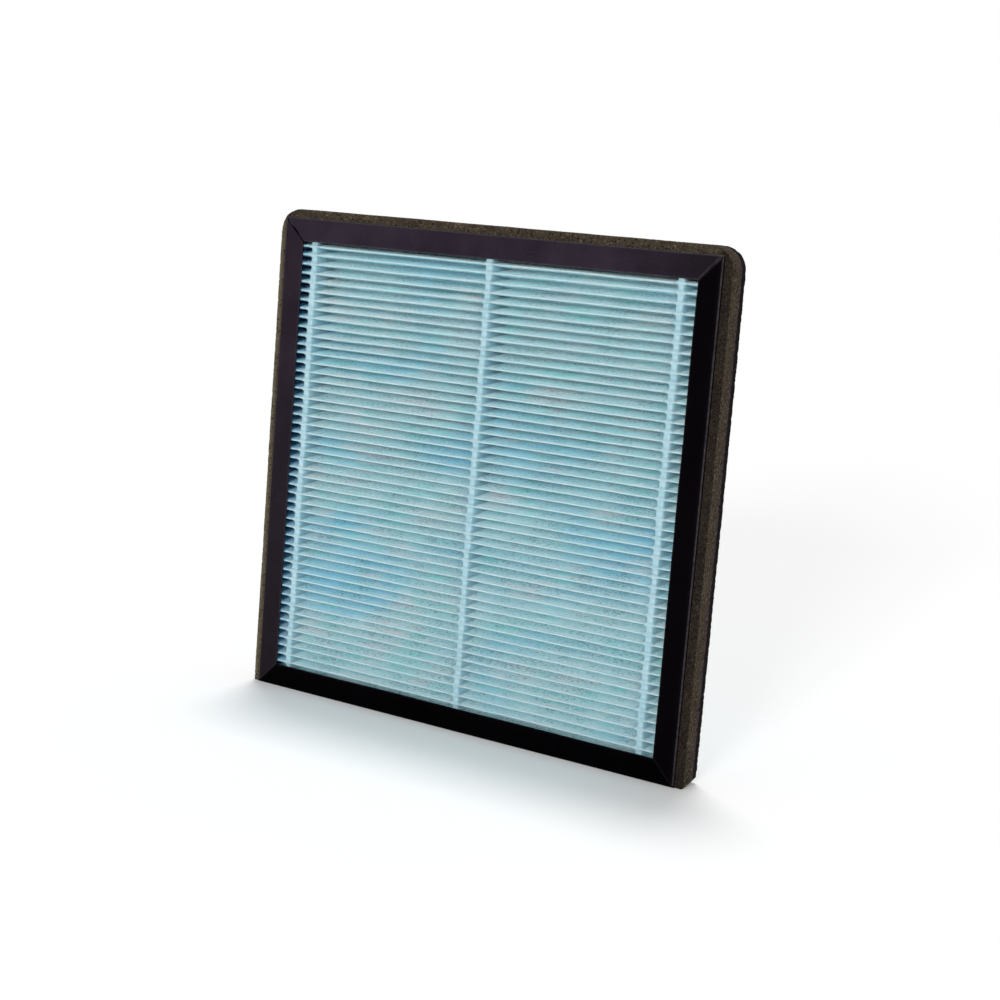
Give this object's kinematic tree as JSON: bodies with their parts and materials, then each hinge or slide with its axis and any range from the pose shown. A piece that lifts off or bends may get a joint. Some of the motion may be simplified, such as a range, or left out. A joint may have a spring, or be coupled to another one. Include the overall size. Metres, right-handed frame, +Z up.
{
  "type": "hepa filter panel",
  "caption": "Square framed air filter panel: pale blue pleated pack with glue separator lines in a black mitred channel frame, with a brown foam sealing strip on three sides.",
  "frame": {"origin": "middle of the bottom face, on the surface that the panel stands on", "axes": "+X along the panel's width, +Y through its depth towards the rear face, +Z up; the front face shown in the picture looks along -Y"},
  "size_m": [0.295, 0.02, 0.285],
  "materials": {
    "frame_board": "black satin coated board",
    "media": "pale blue pleated nonwoven",
    "bead_glue": "pale translucent hot-melt glue",
    "gasket_foam": "brown open-cell sponge",
    "sealant": "dark grey hot-melt glue",
    "tape": "thin adhesive tape"
  },
  "bodies": {
    "root": {"frame_top": "frame_board", "frame_bottom": "frame_board", "frame_left": "frame_board", "frame_right": "frame_board", "pleated_media": "media", "front_bead_left": "bead_glue", "front_bead_centre": "bead_glue", "front_bead_right": "bead_glue", "rear_bead_left": "bead_glue", "rear_bead_centre": "bead_glue", "rear_bead_right": "bead_glue", "foam_gasket": "gasket_foam", "sealant_left": "sealant", "sealant_right": "sealant", "sealant_top": "sealant", "sealant_bottom": "sealant", "gasket_tape": "tape"}
  },
  "joints": []
}
